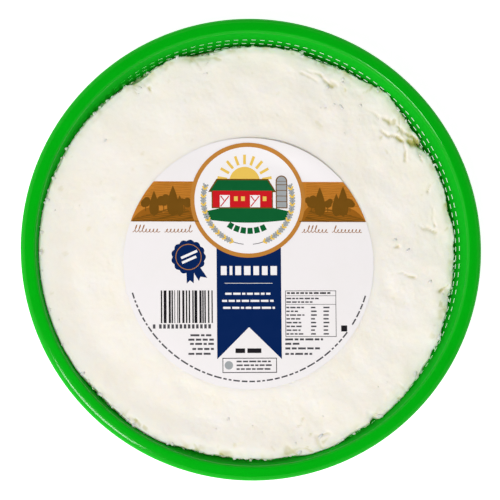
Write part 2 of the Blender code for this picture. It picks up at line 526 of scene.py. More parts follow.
@dataclass
class Basket:
    """Thin moulded basket: flat flange, turned-down lip, plain collar, slotted wall and foot ring."""

    radius: float
    height: float
    wall: float = 0.0012
    crest_radius: float = 0.1036
    crest_inset: float = 0.0004
    crest_round: float = 0.0016
    flange_fall: float = 0.00035
    lip_round: float = 0.0025
    lip_drop: float = 0.0060
    draft: float = math.radians(13.5)
    collar_depth: float = 0.0095
    heel_height: float = 0.0050
    heel_round: float = 0.0030
    foot_width: float = 0.0045
    floor_rise: float = 0.0020
    floor_step: float = 0.0014
    slots_around: int = 150
    slot_rows: int = 7
    slot_width_share: float = 0.54
    slot_height_share: float = 0.29
    slotted_share: float = 0.4
    edge_round: float = 0.00012
    drains: tuple[tuple[float, float, int, int], ...] = (
        (0.078, 0.062, 5, 2),
        (0.054, 0.038, 10, 3),
        (0.031, 0.015, 20, 7),
    )

    @property
    def columns(self) -> int:
        """Number of cells round the wall, a slot and a bar in turn."""
        return 2 * self.slots_around

    def wall_radius(self, height: float) -> float:
        """Return the inner radius of the wall at a height."""
        return self.crest_radius - self.crest_inset - (self.height - height) * math.tan(self.draft)

    def slot_heights(self) -> list[tuple[float, float]]:
        """Return the top and the bottom of each row of slots, from the collar down."""
        top = self.height - self.collar_depth
        pitch = (top - self.heel_height) / self.slot_rows
        return [
            (top - row * pitch, top - (row + self.slot_height_share) * pitch)
            for row in range(self.slot_rows)
        ]

    def foot_radii(self) -> tuple[float, float, float]:
        """Return the inner radii of the foot ring's two edges and of the raised floor."""
        outside = self.wall_radius(self.heel_height) - self.heel_round
        inside = outside - self.foot_width
        return outside, inside, inside - self.floor_step

    def upper_profile(self) -> list[Point2]:
        """Return the visible section from the lip's edge over the crest to the collar."""
        degrees = math.degrees(self.draft)
        top = self.height - self.flange_fall
        lip = arc((self.radius - self.lip_round, top - self.lip_round), self.lip_round, 0.0, 84.0, 7)
        end = self.height - self.crest_round * (1.0 - math.sin(self.draft))
        middle = self.wall_radius(end) + self.crest_round * math.cos(self.draft)
        centre = (middle, self.height - self.crest_round)
        crest = arc(centre, self.crest_round, 84.0, 180.0 - degrees, 6)
        return [(self.radius, self.height - self.lip_drop), *lip, *crest]

    def lower_profile(self) -> list[Point2]:
        """Return the inner section from below the slots to the raised floor."""
        degrees = math.degrees(self.draft)
        _, inside, floor = self.foot_radii()
        low = self.wall + self.heel_round
        touch = low - self.heel_round * math.sin(self.draft)
        centre = (self.wall_radius(touch) - self.heel_round * math.cos(self.draft), low)
        heel = arc(centre, self.heel_round, -degrees, -90.0, 5)
        return [*heel, (inside, self.wall), (floor, self.wall + self.floor_rise)]

    def profile(self) -> list[Point2]:
        """Return the whole inner and upper section, from the lip's edge to the centre."""
        points = self.upper_profile()
        for top, bottom in self.slot_heights():
            points += [(self.wall_radius(top), top), (self.wall_radius(bottom), bottom)]
        points += self.lower_profile()
        floor = self.wall + self.floor_rise
        for outer, inner, _, _ in self.drains:
            points += [(outer, floor), (inner, floor)]
        return points + [(0.0, floor)]

    def is_open(self, face: bmesh.types.BMFace) -> bool:
        """Tell whether a cell of the sheet is a slot of the wall or a drain of the floor.

        Args:
            face: The cell.

        Returns:
            True where the basket has a hole.
        """
        centre = face.calc_center_median()
        radius = math.hypot(centre.x, centre.y)
        column = int((math.atan2(centre.y, centre.x) % TURN) / (TURN / self.columns))
        if abs(radius - self.wall_radius(centre.z)) < self.wall:
            rows = self.slot_heights()
            return column % 2 == 0 and any(bottom < centre.z < top for top, bottom in rows)
        if centre.z < self.wall + 0.5 * self.floor_rise:
            return False
        return any(
            inner < radius < outer and column % every < open_cells
            for outer, inner, every, open_cells in self.drains
        )

    def build(self, finish: MouldedPlastic) -> bpy.types.Object:
        """Make the basket.

        Args:
            finish: Finish of the plastic.

        Returns:
            The basket's object.
        """
        bm = bmesh.new()
        chain = [bm.verts.new((radius, 0.0, height)) for radius, height in self.profile()]
        edges = [bm.edges.new(pair) for pair in zip(chain, chain[1:])]
        bmesh.ops.spin(
            bm,
            geom=chain + edges,
            cent=(0.0, 0.0, 0.0),
            axis=(0.0, 0.0, 1.0),
            angle=TURN,
            steps=self.columns,
            use_merge=True,
        )
        bmesh.ops.remove_doubles(bm, verts=bm.verts, dist=WELD)
        floor = min(bm.faces, key=lambda face: face.calc_center_median().xy.length)
        floor.normal_update()
        if floor.normal.z < 0.0:
            bmesh.ops.reverse_faces(bm, faces=bm.faces)
        holes = [face for face in bm.faces if self.is_open(face)]
        bmesh.ops.delete(bm, geom=holes, context="FACES")
        self.widen_slots(bm)
        self.thin_wall(bm)
        basket = add_piece("basket_moulding", bm, finish.material())
        basket.vertex_groups.new(name="thickness")
        shell = basket.modifiers.new("wall", "SOLIDIFY")
        shell.thickness = self.wall
        shell.offset = -1.0
        shell.use_even_offset = True
        shell.vertex_group = "thickness"
        rounding = basket.modifiers.new("rounding", "BEVEL")
        rounding.width = self.edge_round
        rounding.segments = 1
        rounding.limit_method = "ANGLE"
        rounding.angle_limit = math.radians(50.0)
        rounding.harden_normals = True
        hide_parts("basket")
        return basket

    def thin_wall(self, bm: bmesh.types.BMesh) -> None:
        """Give the slotted part of the wall a smaller share of the full thickness.

        Args:
            bm: The slotted sheet.
        """
        weights = bm.verts.layers.deform.verify()
        top, bottom = self.slot_heights()[0][0], self.slot_heights()[-1][1]
        for vert in bm.verts:
            off = max(vert.co.z - top, bottom - vert.co.z, 0.0)
            vert[weights][0] = blend(self.slotted_share, 1.0, smooth_step(off / self.wall))

    def widen_slots(self, bm: bmesh.types.BMesh) -> None:
        """Turn every second column a little, so that slots are wider than bars.

        Args:
            bm: The slotted sheet.
        """
        step = TURN / self.columns
        shift = (2.0 * self.slot_width_share - 1.0) * step
        for vert in bm.verts:
            column = round((math.atan2(vert.co.y, vert.co.x) % TURN) / step)
            if column % 2 == 1:
                vert.co.rotate(Matrix.Rotation(shift, 3, "Z"))


@dataclass(frozen=True)
class CurdForm:
    """Large form of the cheese, as the solid has it but with gentler lumps, in functions of place."""

    basket: Basket
    gap: float = 0.0003
    top_depth: float = 0.0070
    top_tilt: float = 0.012
    high_side: float = math.radians(225)
    swell: float = 0.0004
    swell_size: float = 0.055
    brow_share: float = 0.965
    brow_drop: float = 0.0002
    bank_share: float = 0.84
    bank_rise: float = 0.0016
    contact_drop: float = 0.0012
    lump_height: float = 0.0010
    lump_size: float = 0.021
    curd_height: float = 0.0005
    curd_size: float = 0.0085
    rough_side: float = math.radians(15)
    rough_middle: float = 0.75
    rough_gain: float = 0.45
    open_side: float = math.radians(62)
    open_width: float = 0.0026
    open_depth: float = 0.0090
    open_bias: float = 0.45
    open_swing: float = 0.90
    edge_wander: float = 0.00045
    edge_wander_size: float = 0.016
    label_radius: float = 0.060
    label_centre: Point2 = (-0.0015, -0.0070)
    label_ease: float = 0.007
    swell_layer: float = 3.7
    lump_layer: float = 0.4
    curd_layer: float = 8.1
    wander_layer: float = 5.2

    @property
    def top_level(self) -> float:
        """Height of the pressed cheese at the centre."""
        return self.basket.height - self.top_depth

    def rest_level(self, x: float, y: float) -> float:
        """Return the height of the pressed cheese under the label, without its lumps.

        Args:
            x: Place along X.
            y: Place along Y.

        Returns:
            The height.
        """
        along = x * math.cos(self.high_side) + y * math.sin(self.high_side)
        swell = self.swell * lumps(x, y, self.swell_size, self.swell_layer)
        return self.top_level + self.top_tilt * along + swell

    def label_share(self, x: float, y: float) -> float:
        """Return 0 under the label and 1 well outside it."""
        distance = math.hypot(x - self.label_centre[0], y - self.label_centre[1])
        return smooth_step((distance - self.label_radius) / self.label_ease)

    def relief(self, x: float, y: float) -> float:
        """Return the height of the broad lumps of the open cheese.

        Args:
            x: Place along X.
            y: Place along Y.

        Returns:
            The height over the pressed cheese.
        """
        along = x * math.cos(self.rough_side) + y * math.sin(self.rough_side)
        roughness = self.rough_middle + self.rough_gain * along / self.basket.crest_radius
        large = self.lump_height * lumps(x, y, self.lump_size, self.lump_layer)
        small = self.curd_height * lumps(x, y, self.curd_size, self.curd_layer)
        return self.label_share(x, y) * roughness * (large + small)

    def openness(self, angle: float) -> float:
        """Return how far the cheese stands off the wall at an angle, from 0 to 1."""
        return smooth_step(self.open_bias + self.open_swing * math.cos(angle - self.open_side))

    def edge_radius(self, angle: float) -> float:
        """Return the radius of the cheese's upper edge.

        Args:
            angle: Angle round the basket.

        Returns:
            The radius, with the edge's slow wander.
        """
        tilt = self.top_tilt * self.basket.crest_radius * math.cos(angle - self.high_side)
        full = self.basket.wall_radius(self.top_level + tilt - self.contact_drop) - self.gap
        x, y = polar(full, angle)
        wander = self.edge_wander * (1.0 - lumps(x, y, self.edge_wander_size, self.wander_layer))
        return full - self.open_width * self.openness(angle) - wander

    def edge_shift(self, angle: float, share: float) -> float:
        """Return how far the top banks up against the wall or slumps off its brow.

        Args:
            angle: Angle round the basket.
            share: Share of the edge radius.

        Returns:
            The change of height.
        """
        open_share = self.openness(angle)
        slump = self.brow_drop * smooth_step((share - self.brow_share) / (1.0 - self.brow_share))
        bank = self.bank_rise * smooth_step((share - self.bank_share) / (1.0 - self.bank_share))
        return bank * (1.0 - open_share) - slump * (1.0 + 2.0 * open_share)


@dataclass(frozen=True)
class Crease:
    """A crack or a dent in the curd, from a fine start to a wide end."""

    start: Point2
    end: Point2
    width: float
    depth: float
    fine_share: float = 0.35

    def depth_at(self, x: float, y: float) -> float:
        """Return how deep the crease is at a place.

        Args:
            x: Place along X.
            y: Place along Y.

        Returns:
            The depth, 0 beside the crease.
        """
        run = Vector(self.end) - Vector(self.start)
        bent = Vector((x + 0.0018 * lumps(x, y, 0.005, 2.9), y + 0.0018 * lumps(x, y, 0.005, 5.9)))
        share = min(max((bent - Vector(self.start)).dot(run) / run.length_squared, 0.0), 1.0)
        width = self.width * blend(self.fine_share, 1.0, share) * (1.0 + 0.7 * lumps(x, y, 0.0022, 7.1))
        distance = (bent - Vector(self.start) - run * share).length
        broken = smooth_step(0.95 + 1.1 * lumps(x, y, 0.0024, 4.7))
        return self.depth * blend(0.3, 1.0, share) * broken * max(1.0 - distance / width, 0.0) ** 1.4


@dataclass(frozen=True)
class RoughPatch:
    """A place where the curd's surface is broken up."""

    x: float
    y: float
    reach: float
    strength: float = 1.0

    def share_at(self, x: float, y: float) -> float:
        """Return how much of the patch's roughness reaches a place."""
        return self.strength * smooth_step(1.0 - math.hypot(x - self.x, y - self.y) / (1.5 * self.reach))


@dataclass(frozen=True)
class Bite:
    """A stretch of the brow that stands further in and lower, or further out if the depth is negative."""

    angle: float
    spread: float
    depth: float

    def depth_at(self, angle: float) -> float:
        """Return how far the brow steps back at an angle."""
        off = abs(math.remainder(angle - math.radians(self.angle), TURN)) / math.radians(self.spread)
        return self.depth * smooth_step(1.0 - off)


class Ring(Enum):
    """Which stretch of the cheese's section a ring of points belongs to."""

    TOP = 0
    SLOPE = 1
    SIDE = 2
    FOOT = 3


@dataclass(frozen=True)
class Edge:
    """State of the cheese's edge at one angle."""

    angle: float
    open_share: float
    bitten: float
    radius: float
    level: float
    contact: float


@dataclass(eq=False)
class Ricotta:
    """The mass of curd with its fine surface, moulded by the basket and open on top."""

    form: CurdForm
    sectors: int = 720
    fine_ring: float = 0.00062
    covered_rings: int = 6
    slope_rings: int = 11
    side_rings: int = 36
    curd_height: float = 0.00034
    curd_size: float = 0.0034
    crack_depth: float = 0.00030
    crack_size: float = 0.0088
    crack_width: float = 0.10
    fleck_depth: float = 0.00014
    grain_height: float = 0.00010
    grain_size: float = 0.0014
    ragged: float = 0.0012
    ragged_waves: tuple[tuple[float, float, float], ...] = (
        (0.60, 0.0052, 4.4),
        (0.35, 0.0021, 2.2),
        (0.45, 0.0130, 6.8),
    )
    full_bite: float = 0.0016
    # Crease depth at which the painted shade of a crease is full.
    full_crack: float = 0.0015
    # Painted shade on the sides and the foot hidden against the wall.
    hidden_shade: float = 0.1
    slope_rough: float = 0.0011
    under_label: float = 0.0002
    bulge: float = 0.0006
    cell: float = 0.004
    patches: tuple[RoughPatch, ...] = (
        RoughPatch(0.0449, 0.0739, 0.018),
        RoughPatch(0.0700, 0.0560, 0.016),
        RoughPatch(0.0855, 0.0094, 0.019, 0.8),
        RoughPatch(0.0903, -0.0240, 0.014, 0.8),
        RoughPatch(-0.0147, -0.0836, 0.016, 0.6),
        RoughPatch(0.0235, -0.0884, 0.018, 0.8),
        RoughPatch(0.0640, -0.0679, 0.012, 0.7),
        RoughPatch(-0.0577, -0.0789, 0.012, 0.6),
        RoughPatch(-0.0529, 0.0763, 0.010),
        RoughPatch(-0.0219, 0.0930, 0.012),
        RoughPatch(-0.0792, 0.0166, 0.013, 0.4),
    )
    bites: tuple[Bite, ...] = (
        Bite(104.0, 8.0, 0.0022),
        Bite(123.0, 6.0, 0.0012),
        Bite(69.0, 8.0, 0.0012),
        Bite(50.0, 9.0, -0.0024),
        Bite(30.5, 3.5, 0.0016),
        Bite(11.0, 4.0, 0.0008),
        Bite(347.0, 4.0, 0.0010),
        Bite(305.5, 1.6, 0.0014),
        Bite(225.0, 13.0, 0.0009),
        Bite(251.0, 8.0, 0.0010),
        Bite(264.0, 18.0, 0.0016),
        Bite(280.0, 7.0, 0.0008),
        Bite(300.0, 8.0, 0.0009),
    )
    creases: tuple[Crease, ...] = (
        Crease((0.0640, 0.0560), (0.0850, 0.0500), 0.0030, 0.0030, 0.5),
        Crease((0.0705, 0.0600), (0.0835, 0.0510), 0.0020, 0.0022, 0.5),
        Crease((0.0735, 0.0530), (0.0742, 0.0430), 0.0014, 0.0012, 0.6),
        Crease((0.0760, 0.0545), (0.0860, 0.0495), 0.0026, 0.0022),
        Crease((0.0790, 0.0500), (0.0830, 0.0440), 0.0013, 0.0010),
        Crease((0.0870, 0.0230), (0.0885, 0.0120), 0.0012, 0.0010),
        Crease((0.0790, 0.0120), (0.0890, 0.0090), 0.0013, 0.0010),
        Crease((0.0270, 0.0870), (0.0400, 0.0790), 0.0022, 0.0012),
        Crease((0.0330, 0.0800), (0.0240, 0.0850), 0.0016, 0.0009),
        Crease((0.0575, 0.0670), (0.0660, 0.0620), 0.0020, 0.0012),
        Crease((0.0680, -0.0115), (0.0790, -0.0125), 0.0013, 0.0010),
        Crease((0.0680, 0.0015), (0.0702, 0.0025), 0.0016, 0.0011),
        Crease((0.0945, -0.0170), (0.0905, -0.0200), 0.0024, 0.0020),
        Crease((0.0880, 0.0340), (0.0855, 0.0280), 0.0013, 0.0009),
        Crease((0.0300, -0.0890), (0.0370, -0.0870), 0.0016, 0.0010),
        Crease((0.0620, -0.0760), (0.0580, -0.0800), 0.0016, 0.0010),
        Crease((-0.0640, -0.0780), (-0.0540, -0.0830), 0.0018, 0.0010),
    )
    grid: dict[tuple[int, int], list[Crease]] = field(default_factory=dict)
    rings: list[tuple[Ring, float, float]] = field(default_factory=list)
    edges: list[Edge] = field(default_factory=list)

    def __post_init__(self) -> None:
        """Work out the rings, the edge and the grid of the creases."""
        self.plan_rings()
        self.sort_creases()
        self.edges = [self.edge_at(TURN * sector / self.sectors) for sector in range(self.sectors)]

    def plan_rings(self) -> None:
        """List the rings of the section, from the top's centre down to the foot's centre."""
        edge = self.form.edge_radius(self.form.high_side)
        covered = (self.form.label_radius - 8.0 * self.fine_ring) / edge
        shares = [covered * ring / self.covered_rings for ring in range(self.covered_rings)]
        fine = round((1.0 - covered) * edge / self.fine_ring)
        shares += [blend(covered, 1.0, ring / fine) for ring in range(fine + 1)]
        self.rings = [(Ring.TOP, share, 0.0) for share in shares]
        self.rings += [(Ring.SLOPE, (ring + 1) / self.slope_rings, 0.0) for ring in range(self.slope_rings)]
        self.rings += [(Ring.SIDE, (ring + 1) / self.side_rings, 0.0) for ring in range(self.side_rings)]
        lower = offset_chain(self.form.basket.lower_profile(), -self.form.gap)[1:]
        self.rings += [(Ring.FOOT, radius, height) for radius, height in lower]
        self.rings += [(Ring.FOOT, share * lower[-1][0], lower[-1][1]) for share in (0.5, 0.0)]

    def sort_creases(self) -> None:
        """Sort the creases into the squares of a grid that they may reach."""
        for crease in self.creases:
            start, end = Vector(crease.start), Vector(crease.end)
            steps = math.ceil((end - start).length / self.cell) + 1
            for step in range(steps + 1):
                place = start.lerp(end, step / steps)
                column, row = math.floor(place.x / self.cell), math.floor(place.y / self.cell)
                for spot in ((column + i, row + j) for i in (-1, 0, 1) for j in (-1, 0, 1)):
                    near = self.grid.setdefault(spot, [])
                    if crease not in near:
                        near.append(crease)

    def edge_at(self, angle: float) -> Edge:
        """Return the state of the edge at an angle.

        Args:
            angle: Angle round the basket.

        Returns:
            The edge's state, with the ragged brow and the contact line.
        """
        bitten = sum(bite.depth_at(angle) for bite in self.bites)
        open_share = max(self.form.openness(angle), smooth_step(bitten / self.full_bite))
        smooth = self.form.edge_radius(angle)
        x, y = polar(smooth, angle)
        ragged = sum(share * lumps(x, y, size, layer) for share, size, layer in self.ragged_waves)
        ragged *= self.ragged * blend(0.45, 1.0, open_share)
        level = self.form.rest_level(x, y) + self.form.relief(x, y) + self.form.edge_shift(angle, 1.0)
        level -= 0.5 * max(bitten, 0.0)
        contact = level - self.form.contact_drop - self.form.open_depth * open_share
        limit = self.form.basket.wall_radius(level) - self.form.gap
        radius = min(smooth + ragged - bitten, limit)
        return Edge(angle, open_share, max(bitten, 0.0), radius, level, contact)

    def ruggedness(self, x: float, y: float, share: float) -> float:
        """Return how rough the curd is at a place, from 0 to 1.

        Args:
            x: Place along X.
            y: Place along Y.
            share: Share of the edge radius.

        Returns:
            The roughness.
        """
        rough = max(patch.share_at(x, y) for patch in self.patches)
        rough = rough * (0.75 + 0.6 * lumps(x, y, 0.011, 6.6)) + 0.5 * smooth_step((share - 0.93) / 0.07)
        return min(max(rough, 0.06), 1.0)

    def fine_relief(self, x: float, y: float, share: float) -> tuple[float, float]:
        """Return the fine relief of the open top and its share of painted shade.

        Args:
            x: Place along X.
            y: Place along Y.
            share: Share of the edge radius.

        Returns:
            The height and the share of painted shade from 0 to 1.
        """
        cover = self.form.label_share(x, y)
        if cover == 0.0:
            return 0.0, 0.0
        rugged = self.ruggedness(x, y, share)
        bent = (x + 0.0022 * lumps(x, y, 0.0075, 1.3), y + 0.0022 * lumps(x, y, 0.0075, 8.8))
        seam = 1.0 - smooth_step(abs(lumps(*bent, self.crack_size, 3.3)) / self.crack_width)
        seam *= smooth_step(2.2 * rugged - 0.9) * smooth_step(0.5 + 1.6 * lumps(x, y, 0.010, 0.7))
        place = Vector((bent[0] / self.curd_size, bent[1] / self.curd_size, 0.5))
        bead = 0.42 - min(noise.voronoi(place)[0][0], 0.9)
        fleck = smooth_step((lumps(*bent, 0.0036, 12.3) - blend(0.62, 0.38, rugged)) / 0.14)
        sunk = sum(crease.depth_at(x, y) for crease in self.near(x, y))
        # Painted shade: deep creases, seams and flecks get the olive shade colour.
        shade_share = smooth_step(sunk / self.full_crack) + (0.35 * seam + 0.4 * fleck) * (0.3 + rugged)
        sunk += self.crack_depth * seam + self.fleck_depth * fleck * (0.3 + rugged)
        height = self.curd_height * bead * rugged + self.grain_height * lumps(x, y, self.grain_size, 9.4)
        height += 0.00016 * lumps(x, y, 0.0050, 7.7) * (0.4 + rugged) - sunk
        return cover * height, min(cover * shade_share, 1.0)

    def near(self, x: float, y: float) -> list[Crease]:
        """Return the creases that may reach a place."""
        return self.grid.get((math.floor(x / self.cell), math.floor(y / self.cell)), [])

    def top_point(self, edge: Edge, share: float) -> tuple[Vector, float]:
        """Return a point of the open top and its share of painted shade.

        Args:
            edge: State of the edge at the point's angle.
            share: Share of the edge radius.

        Returns:
            The point and the share of painted shade.
        """
        x, y = polar(edge.radius * share, edge.angle)
        fine, painted_shade = self.fine_relief(x, y, share)
        near_edge = smooth_step((share - 0.94) / 0.06)
        height = self.form.rest_level(x, y) + self.form.relief(x, y)
        height += self.form.edge_shift(edge.angle, share) + fine - 0.5 * edge.bitten * near_edge
        height += self.under_label * (1.0 - self.form.label_share(x, y))
        # Painted shade, in patches, along the brow where the cheese stands off the wall.
        patchy = smooth_step(0.15 + 1.6 * lumps(x, y, 0.0034, 6.2))
        bitten = 0.55 * smooth_step((share - 0.962) / 0.038) * patchy * edge.open_share
        return Vector((x, y, height)), min(painted_shade + bitten, 1.0)

    def slope_point(self, edge: Edge, share: float) -> tuple[Vector, float]:
        """Return a point between the brow and the wall, and its share of painted shade.

        Args:
            edge: State of the edge at the point's angle.
            share: Share of the way down.

        Returns:
            The point and the share of painted shade.
        """
        top, _ = self.top_point(edge, 1.0)
        outer = self.form.basket.wall_radius(edge.contact) - self.form.gap
        radius = blend(edge.radius, outer, share ** blend(0.7, 1.5, edge.open_share))
        height = blend(top.z, edge.contact, share ** blend(1.6, 0.85, edge.open_share))
        place = Vector((*polar(radius, edge.angle), height))
        rough = self.slope_rough * (0.25 + 0.75 * edge.open_share) * math.sin(math.pi * share)
        radius += rough * noise.noise(place / 0.0034) + 0.7 * rough * noise.noise(place / 0.0015)
        height += rough * noise.noise(place / 0.0026 + Vector((5.0, 1.0, 3.0)))
        radius = min(radius, self.form.basket.wall_radius(height) - self.form.gap)
        # Painted shade, deeper down the slope towards the wall and where the cheese stands off it.
        painted_shade = (0.35 + 0.5 * share) * edge.open_share
        return Vector((*polar(radius, edge.angle), height)), painted_shade

    def side_point(self, edge: Edge, share: float) -> tuple[Vector, float]:
        """Return a point against the wall, swelling into the slots, and its share of painted shade.

        Args:
            edge: State of the edge at the point's angle.
            share: Share of the way from the contact line to the heel.

        Returns:
            The point and the share of painted shade.
        """
        basket = self.form.basket
        height = blend(edge.contact, basket.heel_height + self.form.gap, share)
        radius = basket.wall_radius(height) - self.form.gap
        across = edge.angle / (TURN / basket.slots_around)
        slot_centre = 0.5 * basket.slot_width_share
        off_centre = abs(across - math.floor(across) - slot_centre) / slot_centre
        for top, bottom in basket.slot_heights():
            if bottom < height < top and off_centre < 1.0:
                down = 1.0 - abs(2.0 * (height - bottom) / (top - bottom) - 1.0)
                uneven = 0.7 + 0.6 * noise.noise(Vector((math.floor(across) * 1.7, top / 0.003, 0.0)))
                radius += self.bulge * uneven * smooth_step(1.0 - off_centre) * smooth_step(2.0 * down)
        # The side hidden against the wall gets a fixed share of painted shade.
        return Vector((*polar(radius, edge.angle), height)), self.hidden_shade

    def point(self, ring: tuple[Ring, float, float], edge: Edge) -> tuple[Vector, float]:
        """Return a point of the section.

        Args:
            ring: Stretch, share or radius, and height of the point's ring.
            edge: State of the edge at the point's angle.

        Returns:
            The point and the share of painted shade.
        """
        kind, value, height = ring
        if kind is Ring.TOP:
            return self.top_point(edge, value)
        if kind is Ring.SLOPE:
            return self.slope_point(edge, value)
        if kind is Ring.SIDE:
            return self.side_point(edge, value)
        # The foot gets the same fixed share of painted shade.
        return Vector((*polar(value, edge.angle), height)), self.hidden_shade

    def build(self, material: bpy.types.Material) -> bpy.types.Object:
        """Make the cheese from a flat grid, wound round the axis.

        Args:
            material: Material of the curd.

        Returns:
            The cheese's object.
        """
        bm = bmesh.new()
        last = len(self.rings) - 1
        bmesh.ops.create_grid(bm, x_segments=self.sectors, y_segments=last, size=0.5)
        # Painted shade: each point stores its share of the olive shade colour.
        painted_shade_layer = bm.verts.layers.float.new("painted_shade")
        for vert in bm.verts:
            edge = self.edges[round((vert.co.x + 0.5) * self.sectors) % self.sectors]
            ring = self.rings[round((vert.co.y + 0.5) * last)]
            vert.co, vert[painted_shade_layer] = self.point(ring, edge)
        bmesh.ops.remove_doubles(bm, verts=bm.verts, dist=WELD)
        bmesh.ops.recalc_face_normals(bm, faces=bm.faces)
        cheese = add_piece("curd_mass", bm, material)
        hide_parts("ricotta")
        return cheese


@dataclass
class Crumbs:
    """Loose grains of curd along the brow, on the slope and on the rough parts of the top."""

    ricotta: Ricotta
    edge_count: int = 560
    top_count: int = 50
    smallest: float = 0.00025
    largest: float = 0.00095
    seed: int = 7

    def place_on_edge(self, draw: random.Random) -> Vector:
        """Choose a place on the brow or the slope below it."""
        while True:
            edge = draw.choice(self.ricotta.edges)
            if draw.random() < 0.3 + 0.7 * edge.open_share:
                return self.ricotta.slope_point(edge, draw.random() ** 1.6)[0]

    def place_on_top(self, draw: random.Random) -> Vector:
        """Choose a place on the rough part of the open top."""
        while True:
            share = math.sqrt(draw.uniform(0.35, 1.0))
            point = self.ricotta.top_point(draw.choice(self.ricotta.edges), share)[0]
            free = self.ricotta.form.label_share(point.x, point.y) > 0.7
            if free and draw.random() < self.ricotta.ruggedness(point.x, point.y, share) ** 1.5:
                return point

    def shape_crumb(
        self, template: bmesh.types.BMesh, place: Vector, size: float, draw: random.Random
    ) -> None:
        """Give the template the form of one uneven crumb.

        Args:
            template: A ball of radius 1, which is changed.
            place: Middle of the crumb.
            size: Radius of the crumb.
            draw: Source of random numbers.
        """
        stretch = Vector((draw.uniform(0.9, 1.8), draw.uniform(0.7, 1.2), draw.uniform(0.35, 0.6))) * size
        turn = Matrix.Rotation(draw.uniform(0.0, TURN), 4, "Z")
        seed = Vector((draw.uniform(0.0, 50.0), 0.0, 0.0))
        for vert in template.verts:
            swell = 1.0 + 0.55 * noise.noise(vert.co * 0.9 + seed)
            vert.co = place + turn @ (vert.co * stretch * swell)

    def build(self, material: bpy.types.Material) -> bpy.types.Object:
        """Make all crumbs as one piece.

        Args:
            material: Material of the curd.

        Returns:
            The crumbs' object.
        """
        draw = random.Random(self.seed)
        ball = bmesh.new()
        bmesh.ops.create_icosphere(ball, subdivisions=2, radius=1.0)
        carrier = bpy.data.meshes.new("crumb")
        bm = bmesh.new()
        basket = self.ricotta.form.basket
        for index in range(self.edge_count + self.top_count):
            size = blend(self.smallest, self.largest, draw.random() ** 2.4)
            place = self.place_on_edge(draw) if index < self.edge_count else self.place_on_top(draw)
            limit = basket.wall_radius(place.z) - 1.5 * size
            if place.xy.length > limit:
                place.xy = place.xy.normalized() * limit
            crumb = ball.copy()
            self.shape_crumb(crumb, place, size, draw)
            crumb.to_mesh(carrier)
            crumb.free()
            bm.from_mesh(carrier)
        ball.free()
        bpy.data.meshes.remove(carrier)
        return add_piece("curd_crumbs", bm, material)


class InkLayer:
    """Flat shapes of one ink, drawn in the label's own plane and then laid on the paper.

    Their places are in millimetres from the middle of the print.
    """

    def __init__(self, ink: Ink, level: int) -> None:
        """Start an empty layer.

        Args:
            ink: Ink of the layer.
            level: How many layers lie below it.
        """
        self.ink = ink
        self.level = level
        self.bm = bmesh.new()
        self.count = 0

    def next_height(self) -> float:
        """Return the next shape's height in its layer, so that no two shapes that cross are level."""
        self.count += 1
        return SHAPE_STEP * (self.count % SHAPE_STEPS)

    def block(self, left: float, bottom: float, right: float, top: float, turn: float = 0.0) -> None:
        """Draw a filled rectangle.

        Args:
            left: Left edge.
            bottom: Lower edge.
            right: Right edge.
            top: Upper edge.
            turn: Angle by which it is turned about its middle.
        """
        place = Matrix.Translation((0.5 * (left + right), 0.5 * (bottom + top), self.next_height()))
        size = Matrix.Diagonal((0.5 * (right - left), 0.5 * (top - bottom), 1.0, 1.0))
        spot = place @ Matrix.Rotation(turn, 4, "Z") @ size
        bmesh.ops.create_grid(self.bm, x_segments=1, y_segments=1, size=1.0, matrix=spot)

    def disc(self, centre: Point2, radius: float, sides: int) -> None:
        """Draw a filled circle with a number of sides."""
        spot = Matrix.Translation((*centre, self.next_height()))
        bmesh.ops.create_circle(self.bm, cap_ends=True, segments=sides, radius=radius, matrix=spot)

    def outline(self, points: Sequence[Point2]) -> None:
        """Draw a filled outline of any form.

        Args:
            points: Corners of the outline in order.
        """
        height = self.next_height()
        face = self.bm.faces.new([self.bm.verts.new((x, y, height)) for x, y in points])
        face_up([face])

    def stroke(self, points: Sequence[Point2], width: float) -> None:
        """Draw a line along a chain of points.

        Args:
            points: Points of the line.
            width: Its even width.
        """
        height = self.next_height()
        rails = []
        for side in (0.5, -0.5):
            verts = [self.bm.verts.new((x, y, height)) for x, y in offset_chain(points, side * width)]
            rails += [self.bm.edges.new(pair) for pair in zip(verts, verts[1:])]
        bmesh.ops.bridge_loops(self.bm, edges=rails)

    def border(self, left: float, bottom: float, right: float, top: float, width: float) -> None:
        """Draw the outline of a rectangle.

        Args:
            left: Left edge.
            bottom: Lower edge.
            right: Right edge.
            top: Upper edge.
            width: Width of its line.
        """
        self.block(left, bottom, right, bottom + width)
        self.block(left, top - width, right, top)
        self.block(left, bottom + width, left + width, top - width)
        self.block(right - width, bottom + width, right, top - width)

    def lay(self, label: "Label") -> bpy.types.Object:
        """Lay the shapes on the label and make them a piece.

        Args:
            label: The label that carries them.

        Returns:
            The layer's object.
        """
        turn = Matrix.Rotation(label.print_turn, 3, "Z") @ Matrix.Diagonal((MILLIMETRE, MILLIMETRE, 1.0))
        bmesh.ops.transform(self.bm, matrix=turn.to_4x4(), verts=self.bm.verts)
        label.drape(self.bm, label.print_shift, label.film * (self.level + 1), INK_SHARE * label.film)
        name = f"print_{self.ink.name}_{self.level}"
        return add_piece(name, self.bm, self.ink.material(), math.radians(30.0))


